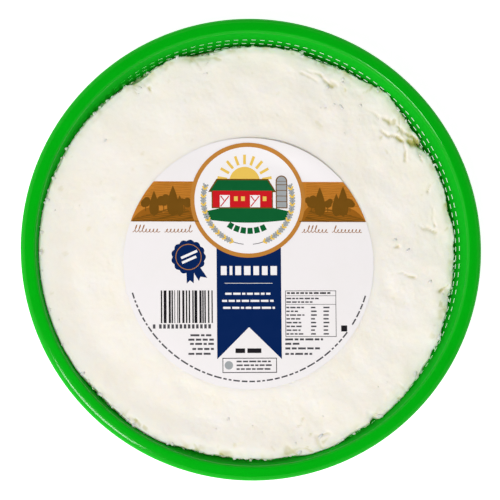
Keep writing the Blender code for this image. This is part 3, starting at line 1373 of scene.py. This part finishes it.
@dataclass
class Label:
    """Round paper label that lies on the cheese, with its edge a little lifted at the upper right."""

    form: CurdForm
    rest: float = 0.0003
    thickness: float = 0.00022
    square: float = 0.00125
    sides: int = 160
    film: float = 0.00003
    print_shift: Point2 = (0.0002, 0.0019)
    print_turn: float = math.radians(0.4)
    lift: float = 0.0016
    lift_side: float = math.radians(70)
    lift_spread: float = math.radians(48)
    lift_band: float = 0.013
    ripple: float = 0.00012

    def top_height(self, x: float, y: float) -> float:
        """Return the height of the paper's upper side at a place.

        Args:
            x: Place along X.
            y: Place along Y.

        Returns:
            The height.
        """
        offset = Vector((x - self.form.label_centre[0], y - self.form.label_centre[1]))
        edge = smooth_step((offset.length - self.form.label_radius + self.lift_band) / self.lift_band)
        turn = math.atan2(offset.y, offset.x) - self.lift_side
        side = smooth_step(1.0 - abs(math.remainder(turn, TURN)) / self.lift_spread)
        raised = self.lift * edge * side + self.ripple * lumps(x, y, 0.017, 6.1) * (0.3 + 0.7 * edge)
        return self.form.rest_level(x, y) + self.rest + self.thickness + raised

    def cut_into_squares(self, bm: bmesh.types.BMesh) -> None:
        """Cut flat shapes along a grid, so that they can follow the paper.

        Args:
            bm: The shapes, in the label's own plane.
        """
        if not bm.verts:
            return
        for axis in (0, 1):
            places = [vert.co[axis] for vert in bm.verts]
            first = math.floor(min(places) / self.square) + 1
            last = math.ceil(max(places) / self.square)
            normal = Vector((1.0, 0.0, 0.0)) if axis == 0 else Vector((0.0, 1.0, 0.0))
            for line in range(first, last):
                bmesh.ops.bisect_plane(
                    bm,
                    geom=bm.verts[:] + bm.edges[:] + bm.faces[:],
                    dist=1e-8,
                    plane_co=normal * line * self.square,
                    plane_no=normal,
                )

    def drape(self, bm: bmesh.types.BMesh, shift: Point2, rise: float, thickness: float) -> None:
        """Lay flat shapes on the paper's upper side and give them a thickness.

        Args:
            bm: The shapes, in the label's own plane.
            shift: How far they move sideways.
            rise: Height of their upper side over the paper's.
            thickness: Their thickness.
        """
        self.cut_into_squares(bm)
        for vert in bm.verts:
            x = vert.co.x + self.form.label_centre[0] + shift[0]
            y = vert.co.y + self.form.label_centre[1] + shift[1]
            vert.co = (x, y, self.top_height(x, y) + rise + vert.co.z)
        bmesh.ops.recalc_face_normals(bm, faces=bm.faces)
        face_up(bm.faces)
        bmesh.ops.solidify(bm, geom=bm.faces, thickness=thickness)

    def build(self, finish: CoatedPaper) -> bpy.types.Object:
        """Make the paper.

        Args:
            finish: Finish of the paper.

        Returns:
            The label's object.
        """
        bm = bmesh.new()
        bmesh.ops.create_circle(bm, cap_ends=True, segments=self.sides, radius=self.form.label_radius)
        self.drape(bm, (0.0, 0.0), 0.0, self.thickness)
        paper = add_piece("label_sheet", bm, finish.material(), math.radians(40.0))
        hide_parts("label")
        return paper


@dataclass
class Artwork:
    """Plain generic print of the label: a farm roundel, ochre fields, a ribbon, bars and panels.

    Its places are in millimetres from the middle of the print.
    """

    label: Label
    draw: random.Random = field(default_factory=lambda: random.Random(19))
    ochre: Ink = Ink("ochre", screen(192, 122, 42))
    brown: Ink = Ink("brown", screen(150, 92, 22))
    umber: Ink = Ink("umber", screen(112, 74, 16))
    ring: Ink = Ink("ring", screen(188, 126, 54))
    navy: Ink = Ink("navy", screen(2, 33, 86), worn=0.05)
    white: Ink = Ink("white", screen(244, 240, 241), worn=0.0)
    black: Ink = Ink("black", screen(30, 28, 32))
    slate: Ink = Ink("slate", screen(78, 76, 80))
    grey: Ink = Ink("grey", screen(158, 162, 164))
    red: Ink = Ink("red", screen(200, 26, 34), worn=0.08)
    green: Ink = Ink("green", screen(10, 92, 46), worn=0.08)
    yellow: Ink = Ink("yellow", screen(236, 196, 90), worn=0.0)
    roundel: Point2 = (-0.7, 28.3)
    roundel_size: Point2 = (27.6, 27.5)
    ring_width: float = 2.0
    band_bottom: float = 18.0
    band_top: float = 37.2
    margin: float = 0.05
    layers: dict[tuple[Ink, int], InkLayer] = field(default_factory=dict)

    def reach(self, y: float, sign: float) -> float:
        """Return how far the paper reaches at a height.

        Args:
            y: The height.
            sign: 1 for the right side and -1 for the left.

        Returns:
            The place across where the paper ends.
        """
        middle = [-shift / MILLIMETRE for shift in self.label.print_shift]
        radius = self.label.form.label_radius / MILLIMETRE - self.margin
        return middle[0] + sign * math.sqrt(radius**2 - (y - middle[1]) ** 2)

    def layer(self, ink: Ink, level: int) -> InkLayer:
        """Return the layer of an ink at a level, made when it is first asked for."""
        if (ink, level) not in self.layers:
            self.layers[ink, level] = InkLayer(ink, level)
        return self.layers[ink, level]

    def words(self, layer: InkLayer, height: float, lines: Sequence[tuple[float, float, float]]) -> None:
        """Draw lines of plain bars, as small print looks from a step away.

        Args:
            layer: Layer to draw in.
            height: Height of the bars.
            lines: Left end, right end and middle height of each line.
        """
        for start, right, middle in lines:
            while start < right - height:
                end = min(start + height * self.draw.uniform(1.5, 4.6), right)
                layer.block(start, middle - 0.5 * height, end, middle + 0.5 * height)
                start = end + height * 0.75

    def draw_band(self) -> None:
        """Draw the ochre band across the label, with hills, furrows and trees."""
        heights = [blend(self.band_bottom, self.band_top, step / 16) for step in range(17)]
        right, left = ([(self.reach(y, sign), y) for y in heights] for sign in (1.0, -1.0))
        self.layer(self.ochre, 0).outline(right + left[::-1])
        for sign in (-1.0, 1.0):
            self.draw_hills(sign)
            self.draw_furrows(sign)
        for x, size in ((-49.6, 2.4), (-41.0, 2.9), (-31.0, 2.2), (29.8, 2.8), (37.8, 2.2), (48.6, 2.6)):
            self.draw_round_tree((x, self.band_bottom + 5.0), size)
        slim = (-45.6, 12.0), (-36.6, 14.6), (-33.4, 10.0), (34.0, 14.0), (42.0, 11.0), (45.2, 14.4)
        for x, tall in slim:
            self.draw_cypress((x, self.band_bottom + 2.6), tall)

    def draw_hills(self, sign: float) -> None:
        """Draw the hills of one half of the band.

        Args:
            sign: 1 for the right half and -1 for the left.
        """
        foot = self.band_bottom + 0.1
        edge = abs(self.reach(foot, sign)) - 0.3
        for start, end, rise in ((edge, 38.0, 6.6), (46.5, 29.0, 4.8), (38.0, 24.0, 8.2)):
            crown = [
                (sign * blend(start, end, step / 12), foot + rise * math.sin(math.pi * step / 12) ** 0.8)
                for step in range(13)
            ]
            self.layer(self.brown, 1).outline([(x, y) for x, y in crown if abs(x) < abs(self.reach(y, sign))])

    def draw_waves(
        self, layer: InkLayer, sign: float, span: tuple[float, float, int], wave: tuple[float, ...]
    ) -> None:
        """Draw one wavy line across a half of the band.

        Args:
            layer: Layer to draw in.
            sign: 1 for the right half and -1 for the left.
            span: Where the line starts and ends, and its number of stretches.
            wave: Height of the line and of its waves, their pace and their shift, and the line's width.
        """
        start, end, steps = span
        level, rise, pace, shift, width = wave
        places = [blend(start, end, step / steps) for step in range(steps + 1)]
        layer.stroke([(sign * x, level + rise * math.sin(pace * x + shift)) for x in places], width)

    def draw_furrows(self, sign: float) -> None:
        """Draw the furrows and the haze of one half of the band, with a dark strip below.

        Args:
            sign: 1 for the right half and -1 for the left.
        """
        low = self.band_bottom
        for row in range(8):
            level = low + 1.0 + 0.7 * row
            far = min(abs(self.reach(level, sign)) - 0.8, 56.0 - 2.2 * row)
            wave = (level, 0.35, 0.5, 1.3 * row, 0.3)
            self.draw_waves(self.layer(self.umber, 2), sign, (26.5 + 0.4 * row, far, 16), wave)
        for row in range(15):
            level = low + 7.6 + 0.78 * row
            far = abs(self.reach(level, sign)) - 0.6 - 0.9 * (row % 3)
            wave = (level, 0.14, 0.7, row, 0.17)
            self.draw_waves(self.layer(self.brown, 1), sign, (27.6 - 0.1 * (row % 2), far, 12), wave)
        left, right = sorted((sign * 24.0, self.reach(low, sign) - sign * 0.3))
        self.layer(self.umber, 5).block(left, low, right, low + 0.45)

    def draw_round_tree(self, foot: Point2, size: float) -> None:
        """Draw a round tree of a few discs on a short trunk.

        Args:
            foot: Lower end of the trunk.
            size: Radius of the crown.
        """
        uniform = self.draw.uniform
        x, y = foot[0], foot[1] + 1.6 * size
        for blob in range(4):
            spot = (x + uniform(-0.7, 0.7) * size, y + uniform(-0.4, 0.7) * size)
            self.layer(self.umber, 3 + blob % 2).disc(spot, size * uniform(0.55, 0.85), 14)
        self.layer(self.umber, 2).block(x - 0.2, foot[1], x + 0.2, y)

    def draw_cypress(self, foot: Point2, tall: float) -> None:
        """Draw a slim pointed tree.

        Args:
            foot: Middle of its foot.
            tall: Height of the tree.
        """
        x, y = foot
        side = [
            (0.19 * tall * math.sin(math.pi * (step / 12) ** 0.6) ** 0.9, tall * step / 12)
            for step in range(1, 12)
        ]
        right, left = ([(x + sign * off, y + up) for off, up in side] for sign in (1.0, -1.0))
        self.layer(self.umber, 3).outline([foot, *right, (x, y + tall), *left[::-1]])

    def draw_roundel(self) -> None:
        """Draw the roundel: a brown ring round a white field with a farm on a hill."""
        (x, y), (wide, tall) = self.roundel, self.roundel_size
        for ink, level, inset in ((self.ring, 5, 0.0), (self.white, 6, self.ring_width)):
            circle = arc((0.0, 0.0), 1.0, 0.0, 356.25, 95)
            ellipse = [(x + (wide - inset) * a, y + (tall - inset) * b) for a, b in circle]
            self.layer(ink, level).outline(ellipse)
        sun = (x - 1.5, y + 8.6)
        self.layer(self.yellow, 7).outline(arc(sun, 7.4, 0.0, 180.0, 24))
        for ray in range(9):
            near, far = (arc(sun, size, 20.0 * ray + 10.0, 20.0 * ray + 10.0, 1)[0] for size in (8.6, 13.2))
            self.layer(self.yellow, 7).stroke([near, far], 1.3)
        swell = [(2.0 * s / 24 - 1.0, math.sin(math.pi * s / 24)) for s in range(25)]
        crown = [(x + 21.0 * a, y - 5.6 + 3.2 * b) for a, b in swell]
        base = [(x - 19.5 * a, y - 9.4 - 1.4 * b) for a, b in swell]
        self.layer(self.green, 7).outline(crown + base)
        self.draw_barn(x + 0.4, y - 3.4)
        self.draw_wreath(x, y + 0.2)
        for start in range(234, 300, 11):
            letter = arc((x + 0.4, y + 2.2), 16.9, start + 0.5, start + 9.0, 6)
            self.layer(self.green, 7).stroke(letter, 2.9)

    def draw_barn(self, x: float, y: float) -> None:
        """Draw a long red barn with a green roof, white doors and a grey silo.

        Args:
            x: Place of its foot's middle across.
            y: Height of its foot.
        """
        dark, silo = self.layer(self.umber, 8), self.layer(self.grey, 9)
        dark.block(x - 17.8, y - 0.5, x + 11.6, y + 8.6)
        dark.outline([(x - 19.4, y + 7.3), (x - 15.4, y + 13.6), (x + 9.4, y + 13.6), (x + 13.2, y + 7.3)])
        dark.block(x + 13.0, y - 0.5, x + 18.6, y + 12.5)
        dark.outline(arc((x + 15.8, y + 12.5), 2.8, 0.0, 180.0, 16))
        self.layer(self.red, 9).block(x - 17.3, y, x + 11.1, y + 8.1)
        roof = [(x - 18.4, y + 7.9), (x - 15.0, y + 13.0), (x + 9.0, y + 13.0), (x + 12.3, y + 7.9)]
        self.layer(self.green, 10).outline(roof)
        silo.block(x + 13.5, y, x + 18.1, y + 12.4)
        silo.outline(arc((x + 15.8, y + 12.6), 2.2, 0.0, 180.0, 16))
        for door in (x - 11.5, x + 3.0):
            self.layer(self.white, 10).block(door - 2.4, y, door + 2.4, y + 5.8)
            self.layer(self.red, 11).stroke([(door - 2.0, y + 0.4), (door + 2.0, y + 5.4)], 0.5)
            self.layer(self.red, 11).stroke([(door - 2.0, y + 5.4), (door - 0.3, y + 3.2)], 0.5)
        for window in (x - 6.2, x - 2.8, x + 7.6):
            self.layer(self.yellow, 10).block(window - 0.9, y + 3.0, window + 0.9, y + 5.2)
        for hoop in range(4):
            level = y + 2.6 + 2.7 * hoop
            self.layer(self.umber, 10).block(x + 13.5, level, x + 18.1, level + 0.3)

    def draw_wreath(self, x: float, y: float) -> None:
        """Draw two bent ears of grain that rise from below along the ring.

        Args:
            x: Place of their common centre across.
            y: Height of the centre.
        """
        for sign in (-1.0, 1.0):
            stem = [(x + sign * a, y + b) for a, b in arc((0.0, 0.0), 21.4, -84.0, 20.0, 30)]
            self.layer(self.slate, 7).stroke(stem, 0.3)
            for index, (start, end) in enumerate(zip(stem[4:], stem[5:])):
                run = (Vector(end) - Vector(start)).normalized()
                for lean in (0.7, -0.7):
                    grain = run.copy()
                    grain.rotate(Matrix.Rotation(lean, 2))
                    tip = (start[0] + 1.9 * grain.x, start[1] + 1.9 * grain.y)
                    self.layer(self.grey if index % 3 else self.yellow, 8).stroke([start, tip], 0.8)

    def draw_ribbon(self) -> None:
        """Draw the navy ribbon with its swallow tail, and the bars that stand for its print."""
        left, right, notch = -15.9, 15.0, (-0.6, -32.3)
        corners = [(left, 10.0), (left, -47.5), notch, (right, -47.5), (right, 10.0)]
        self.layer(self.navy, 0).outline(corners)
        pale, dark = self.layer(self.white, 1), self.layer(self.black, 0)
        start = -13.9
        for wide in (2.8, 1.3, 2.8, 3.1, 2.7, 2.7, 3.1):
            pale.block(start, -7.5, start + wide, -3.2)
            start += wide + 1.4
        pale.block(-12.1, -11.5, 10.8, -11.3)
        self.words(pale, 1.0, [(-11.9, 10.5, -16.4), (-13.4, 12.4, -19.8), (-12.9, 11.9, -23.1)])
        dark.block(-7.2, -44.6, -2.6, -42.4)
        dark.block(-1.5, -44.6, 5.2, -42.4)
        dark.border(-13.4, -54.0, 12.6, -46.9, 0.35)
        self.layer(self.grey, 0).disc((-10.4, -50.4), 2.0, 24)
        lines = [(-6.7, 9.8, -48.6), (-6.7, 11.0, -50.4), (-6.7, 10.2, -52.2)]
        self.words(self.layer(self.slate, 0), 0.75, lines)

    def draw_rosette(self) -> None:
        """Draw the plain navy rosette with two tilted bars and two tails."""
        x, y = -29.3, 1.1
        tails = self.layer(self.navy, 0)
        tails.outline([(-30.4, -4.0), (-30.2, -11.6), (-28.6, -10.0), (-26.9, -11.4), (-26.6, -4.0)])
        tails.outline([(-27.8, -4.6), (-24.4, -10.4), (-23.7, -8.3), (-20.4, -8.8), (-24.2, -3.2)])
        scallops = [
            arc((x, y), 7.5 + 0.8 * abs(math.cos(math.radians(6.5 * turn))), turn, turn, 1)[0]
            for turn in range(0, 360, 4)
        ]
        self.layer(self.navy, 1).outline(scallops)
        for ink, level, radius in ((self.ring, 2, 6.2), (self.navy, 3, 5.9)):
            self.layer(ink, level).disc((x, y), radius, 48)
        for middle, half in ((y + 1.2, 4.2), (y - 1.3, 3.7)):
            bar = (x + 0.3 - half, middle - 0.6, x + 0.3 + half, middle + 0.6)
            self.layer(self.white, 4).block(*bar, math.radians(24))

    def draw_bar_code(self) -> None:
        """Draw a made-up pattern of bars with a row of short blocks below."""
        left, right, unit = -42.6, -17.9, 0.34
        while left < right - unit:
            end = min(left + unit * self.draw.choice((1, 2, 2, 3, 4)), right)
            self.layer(self.black, 0).block(left, -30.3, end, -14.8)
            left = end + unit * self.draw.choice((1, 2, 2, 3))
        for step in range(14):
            start = -46.4 + 1.95 * step + (1.0 if step else 0.0)
            self.layer(self.slate, 0).block(start, -32.9, start + 1.2, -30.9)

    def draw_panels(self) -> None:
        """Draw the table of figures and the small blocks of print."""
        dark, fine = self.layer(self.black, 0), self.layer(self.slate, 0)
        dark.border(16.9, -37.0, 41.4, -14.9, 0.26)
        self.words(dark, 0.8, [(17.8, 39.8, -16.1)])
        for level in (-17.4, -21.5):
            dark.block(17.1, level - 0.1, 41.1, level + 0.1)
        self.words(fine, 0.7, [(17.4, 33.0, -18.7), (17.4, 31.0, -20.4)])
        for row in range(8):
            middle = -23.0 - 1.8 * row
            self.words(fine, 0.7, [(17.4, 25.0 + self.draw.uniform(-2.5, 1.5), middle)])
            for column in (29.2, 35.2):
                fine.block(column, middle - 0.35, column + self.draw.uniform(1.8, 3.4), middle + 0.35)
        right_lines = [(16.7, 34.9, -38.2), (16.7, 23.9, -40.3), (16.7, 34.9, -42.5), (16.7, 29.6, -45.1)]
        starts = ((-28.6, -36.1), (-29.6, -38.2), (-28.8, -40.2), (-27.7, -42.6), (-29.6, -44.9))
        self.words(fine, 0.95, right_lines + [(start, -17.5, middle) for start, middle in starts])
        dark.block(43.7, -34.5, 46.6, -31.6)

    def draw_flourish(self, start: float, end: float) -> None:
        """Draw a looping line, as quick handwriting looks from a step away.

        Args:
            start: Left end of the line.
            end: Right end of the line.
        """
        pitch, middle, steps = 1.75, 13.7, 12
        points = []
        for step in range(round((end - start) / pitch * steps)):
            turn = TURN * step / steps
            tall = 0.75 + (0.95 if math.sin(0.61 * math.floor(turn / TURN) + start) > 0.55 else 0.0)
            rise = tall * (1.0 - math.cos(turn)) - 0.8
            points.append((start + pitch * turn / TURN + 0.55 * math.sin(turn) + 0.35 * rise, middle + rise))
        self.layer(self.brown, 0).stroke([point for point in points if point[0] < end], 0.28)

    def draw_edge_print(self) -> None:
        """Draw the line of small print that follows the label's lower edge."""
        angle = 196.0
        while angle < 343.0:
            end = min(angle + self.draw.uniform(1.0, 4.2), 344.0)
            if not 320.5 < angle < 326.0:
                curve = arc((0.0, 0.2), 58.3, angle, end, max(2, round(end - angle)))
                self.layer(self.slate, 0).stroke(curve, 0.72)
            angle = end + 0.9

    def build(self) -> list[bpy.types.Object]:
        """Draw the whole print and lay it on the label.

        Returns:
            The pieces of the print.
        """
        self.draw_band()
        self.draw_ribbon()
        self.draw_roundel()
        self.draw_rosette()
        self.draw_bar_code()
        self.draw_panels()
        for start, end in ((-55.6, -42.4), (-40.4, -27.2), (25.4, 38.2), (40.0, 54.6)):
            self.draw_flourish(start, end)
        self.draw_edge_print()
        return [layer.lay(self.label) for layer in self.layers.values()]


@dataclass(frozen=True)
class Studio:
    """Plain pale floor, soft lights, a white world and a camera that looks almost straight down."""

    basket: Basket
    floor_size: float = 6.0
    key_power: float = 10.5
    key_size: Point2 = (0.45, 0.45)
    glint_power: float = 4.0
    glint_size: Point2 = (0.34, 0.07)
    key_place: tuple[float, float, float] = (-0.48, -0.55, 1.42)
    bright_side: tuple[float, float, float] = (-0.55, -0.55, 0.63)
    card_level: float = 0.1
    card_heights: Point2 = (0.80, 0.90)
    world_dim: float = 0.31
    world_bright: float = 0.86
    camera_tilt: float = math.radians(7.5)
    camera_side: float = math.radians(213)
    camera_distance: float = 1.1
    picture_side: float = 500.0
    rim_in_picture: float = 232.2
    aim_shift: Point2 = (-0.00190, -0.00109)

    def lay_floor(self) -> None:
        """Make the floor, which is no part of the object."""
        bm = bmesh.new()
        bmesh.ops.create_grid(bm, x_segments=4, y_segments=4, size=0.5 * self.floor_size)
        mesh = bpy.data.meshes.new("studio_floor")
        bm.to_mesh(mesh)
        bm.free()
        mesh.materials.append(FloorPaint().material())
        floor = bpy.data.objects.new("studio_floor", mesh)
        bpy.context.scene.collection.objects.link(floor)

    def hang_lamp(self, name: str, power: float, size: Point2) -> None:
        """Hang a rectangular lamp that points at the basket.

        Args:
            name: Name of the lamp.
            power: Power in watts.
            size: Its width and its height.
        """
        data = bpy.data.lights.new(name, "AREA")
        data.energy = power
        data.shape = "RECTANGLE"
        data.size, data.size_y = size
        lamp = bpy.data.objects.new(name, data)
        lamp.location = self.key_place
        lamp.rotation_euler = (-Vector(self.key_place)).to_track_quat("-Z", "Y").to_euler()
        bpy.context.scene.collection.objects.link(lamp)

    def light(self) -> None:
        """Set a soft key, a small lamp for glints and a world with a bright side and a dark card overhead."""
        self.hang_lamp("key", self.key_power, self.key_size)
        self.hang_lamp("glint", self.glint_power, self.glint_size)
        world = bpy.data.worlds.new("studio")
        world.use_nodes = True
        nodes = Nodes(world.node_tree)
        direction = nodes.add("TexCoord")["Generated"]
        bright_side = Vector(self.bright_side).normalized()
        facing = nodes.math("DOT_PRODUCT", direction, bright_side, kind="VectorMath")
        soft = {"interpolation_type": "SMOOTHSTEP"}
        fade = nodes.ramp(facing, from_min=-0.6, to_min=self.world_dim, to_max=self.world_bright, **soft)
        height = nodes.add("SeparateXYZ", vector=direction)["Z"]
        low, high = self.card_heights
        card = nodes.ramp(height, from_min=low, from_max=high, to_min=1.0, to_max=self.card_level, **soft)
        background = world.node_tree.nodes["Background"].inputs
        nodes.feed(background["Color"], (1.0, 1.0, 1.0))
        nodes.feed(background["Strength"], nodes.math("MULTIPLY", fade, card))
        bpy.context.scene.world = world
        bpy.context.scene.view_settings.view_transform = "Standard"

    def set_camera(self) -> None:
        """Place the camera and frame the rim as the picture does."""
        data = bpy.data.cameras.new("camera")
        half_view = self.basket.radius * 0.5 * self.picture_side / self.rim_in_picture
        data.lens = 0.5 * data.sensor_width * self.camera_distance / half_view
        camera = bpy.data.objects.new("camera", data)
        aim = Vector((*self.aim_shift, self.basket.height))
        lean = math.sin(self.camera_tilt)
        side = Vector((*polar(1.0, self.camera_side), 0.0))
        back = side * lean + Vector((0.0, 0.0, math.cos(self.camera_tilt)))
        right = (-back).cross(Vector((0.0, 1.0, 0.0))).normalized()
        up = back.cross(right)
        turn = Matrix((right, up, back)).transposed().to_4x4()
        camera.matrix_world = Matrix.Translation(aim + back * self.camera_distance) @ turn
        bpy.context.scene.collection.objects.link(camera)
        bpy.context.scene.camera = camera


def main() -> None:
    """Build the pieces in order and report each."""
    logging.basicConfig(level=logging.INFO, format="%(message)s")
    _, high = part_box("basket")
    basket = Basket(radius=high.x, height=high.z)
    form = CurdForm(basket)
    ricotta = Ricotta(form)
    curd = FreshCurd().material()
    label = Label(form)
    pieces = [
        basket.build(MouldedPlastic()),
        ricotta.build(curd),
        Crumbs(ricotta).build(curd),
        label.build(CoatedPaper()),
        *Artwork(label).build(),
    ]
    for piece in pieces:
        report(piece)
    studio = Studio(basket)
    studio.lay_floor()
    studio.light()
    studio.set_camera()


if __name__ == "__main__":
    main()
